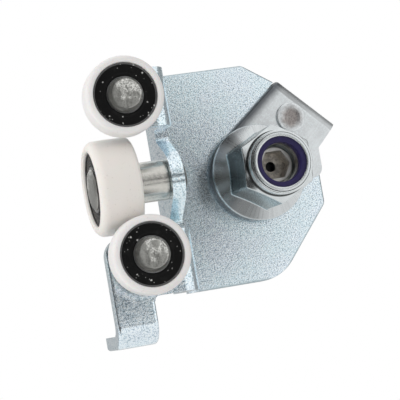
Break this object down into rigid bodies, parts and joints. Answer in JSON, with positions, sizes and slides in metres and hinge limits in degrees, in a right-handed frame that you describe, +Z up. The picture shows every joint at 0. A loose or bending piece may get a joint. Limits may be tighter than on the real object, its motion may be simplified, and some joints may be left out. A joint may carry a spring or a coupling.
{
  "type": "sliding door roller guide",
  "caption": "Zinc-plated roller carriage for a sliding door: a folded sheet carrier with white sealed rollers, a hooked tongue, and a tall flange nut over a lock plate on a pivot stud.",
  "frame": {"origin": "on the pivot stud's axis, where its plain pivot meets its collar behind the carrier", "axes": "+Y along the plain pivot towards its free end, away from the nut; +Z up along the line of the rollers, which is the rail's direction; +X from the rollers towards the nut"},
  "size_m": [0.0846, 0.0594, 0.0836],
  "materials": {
    "zinc_sheet": "zinc plated, fine mottled grain",
    "zinc_lock_plate": "zinc plated, smooth satin",
    "rivet_steel": "zinc plated, peened and dulled",
    "stud_steel": "plain turned steel",
    "zinc_nut": "bright zinc",
    "nylon_insert": "moulded nylon, dark indigo",
    "zinc_pin": "zinc plated, turned",
    "bearing_steel": "ground bearing steel",
    "ball_steel": "polished bearing steel",
    "cage_nylon": "moulded natural nylon",
    "seal_rubber": "smooth glossy black",
    "white_tyre": "moulded white polyamide, satin"
  },
  "bodies": {
    "carriage": {"carrier_plate": "zinc_sheet", "lock_plate": "zinc_lock_plate", "lock_plate_rivet": "rivet_steel", "pivot_stud": "stud_steel", "flange_nut": "zinc_nut", "nut_insert": "nylon_insert", "upper_guide_pin": "zinc_pin", "upper_guide_inner_ring": "bearing_steel", "lower_guide_pin": "zinc_pin", "lower_guide_inner_ring": "bearing_steel", "load_roller_pin": "zinc_pin", "load_roller_inner_ring": "bearing_steel"},
    "upper_guide_roller": {"upper_guide_tyre": "white_tyre", "upper_guide_outer_ring": "bearing_steel", "upper_guide_outer_seal": "seal_rubber", "upper_guide_inner_seal": "seal_rubber"},
    "upper_guide_ball_set": {"upper_guide_balls": "ball_steel", "upper_guide_cage": "cage_nylon"},
    "lower_guide_roller": {"lower_guide_tyre": "white_tyre", "lower_guide_outer_ring": "bearing_steel", "lower_guide_outer_seal": "seal_rubber", "lower_guide_inner_seal": "seal_rubber"},
    "lower_guide_ball_set": {"lower_guide_balls": "ball_steel", "lower_guide_cage": "cage_nylon"},
    "load_roller": {"load_roller_tyre": "white_tyre", "load_roller_outer_ring": "bearing_steel", "load_roller_outer_seal": "seal_rubber", "load_roller_inner_seal": "seal_rubber"},
    "load_roller_ball_set": {"load_roller_balls": "ball_steel", "load_roller_cage": "cage_nylon"}
  },
  "joints": [
    {"name": "upper_guide_spin", "type": "hinge", "parent": "carriage", "child": "upper_guide_roller", "pos_m": [-0.0444, -0.0373, 0.02533], "axis": [0, 1, 0], "continuous": true},
    {"name": "upper_guide_ball_ring", "type": "hinge", "parent": "carriage", "child": "upper_guide_ball_set", "pos_m": [-0.0444, -0.0373, 0.02533], "axis": [0, 1, 0], "continuous": true},
    {"name": "lower_guide_spin", "type": "hinge", "parent": "carriage", "child": "lower_guide_roller", "pos_m": [-0.0444, -0.0373, -0.02114], "axis": [0, 1, 0], "continuous": true},
    {"name": "lower_guide_ball_ring", "type": "hinge", "parent": "carriage", "child": "lower_guide_ball_set", "pos_m": [-0.0444, -0.0373, -0.02114], "axis": [0, 1, 0], "continuous": true},
    {"name": "load_roller_spin", "type": "hinge", "parent": "carriage", "child": "load_roller", "pos_m": [-0.049, -0.0228, 0.0011], "axis": [1, 0, 0], "continuous": true},
    {"name": "load_roller_ball_ring", "type": "hinge", "parent": "carriage", "child": "load_roller_ball_set", "pos_m": [-0.049, -0.0228, 0.0011], "axis": [1, 0, 0], "continuous": true}
  ],
  "couplings": [
    {"joint": "upper_guide_ball_ring", "follows": "upper_guide_spin", "ratio": 0.6338},
    {"joint": "lower_guide_ball_ring", "follows": "lower_guide_spin", "ratio": 0.6338},
    {"joint": "load_roller_ball_ring", "follows": "load_roller_spin", "ratio": 0.64}
  ]
}
